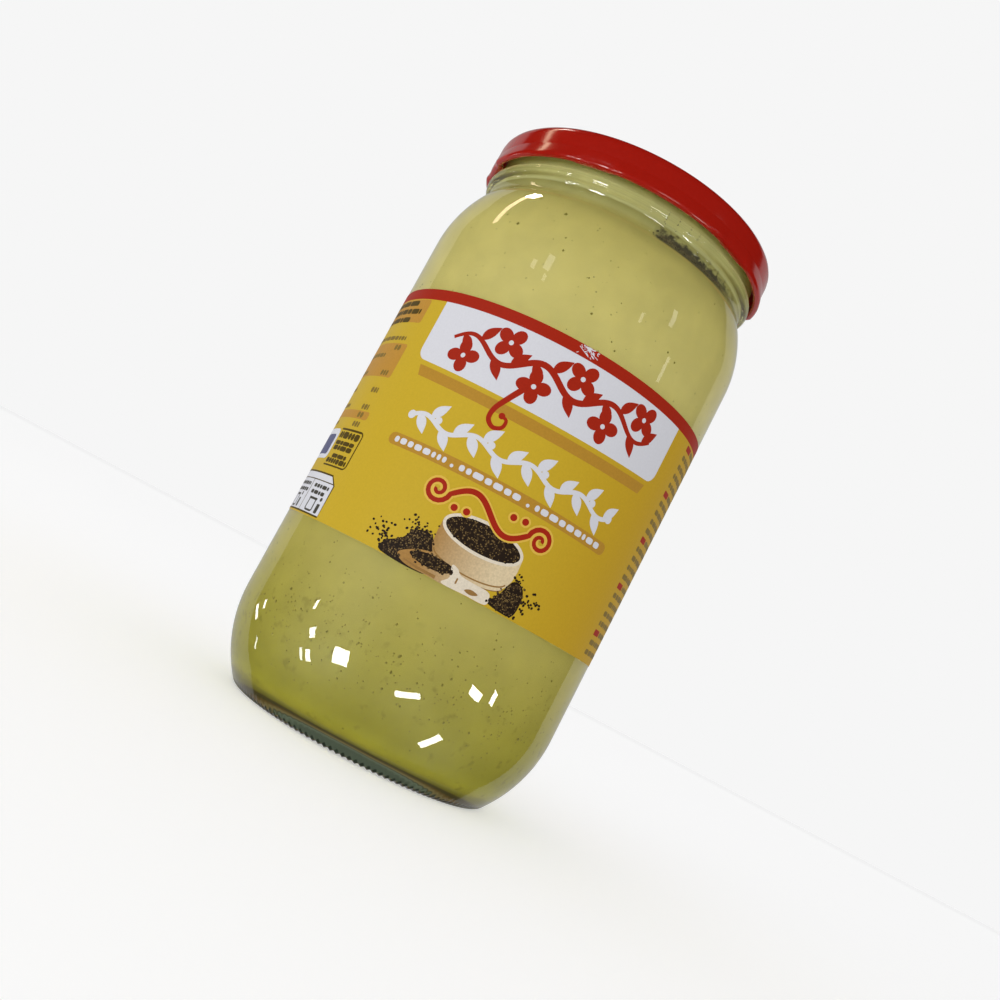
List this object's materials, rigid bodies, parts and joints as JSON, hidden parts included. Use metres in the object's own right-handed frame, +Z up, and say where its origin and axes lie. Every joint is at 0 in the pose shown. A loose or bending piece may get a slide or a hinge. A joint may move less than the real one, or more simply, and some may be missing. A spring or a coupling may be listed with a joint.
{
  "type": "mustard jar",
  "caption": "Full round glass mustard jar with a rounded shoulder, beaded neck, red metal lug cap and paper wrap label, standing on the ring under its base.",
  "frame": {"origin": "centre of the ring that the jar stands on, on the table", "axes": "+Z up along the jar's axis; the front of the label faces -Y; +X is to the right seen from the front"},
  "size_m": [0.0904, 0.0904, 0.1632],
  "materials": {
    "glass": "clear flint glass with a faint grey-green tint, pressed and blown",
    "mustard": "smooth pale yellow-green paste with fine dark husk specks",
    "cap_enamel": "glossy red stoving enamel on tinplate",
    "label_paper": "smooth coated paper, printed yellow with a red top band",
    "dried_stain": "dry, dark, ragged residue inside the neck"
  },
  "bodies": {
    "root": {"jar": "glass", "mustard": "mustard", "cap": "cap_enamel", "label": "label_paper"}
  },
  "joints": []
}
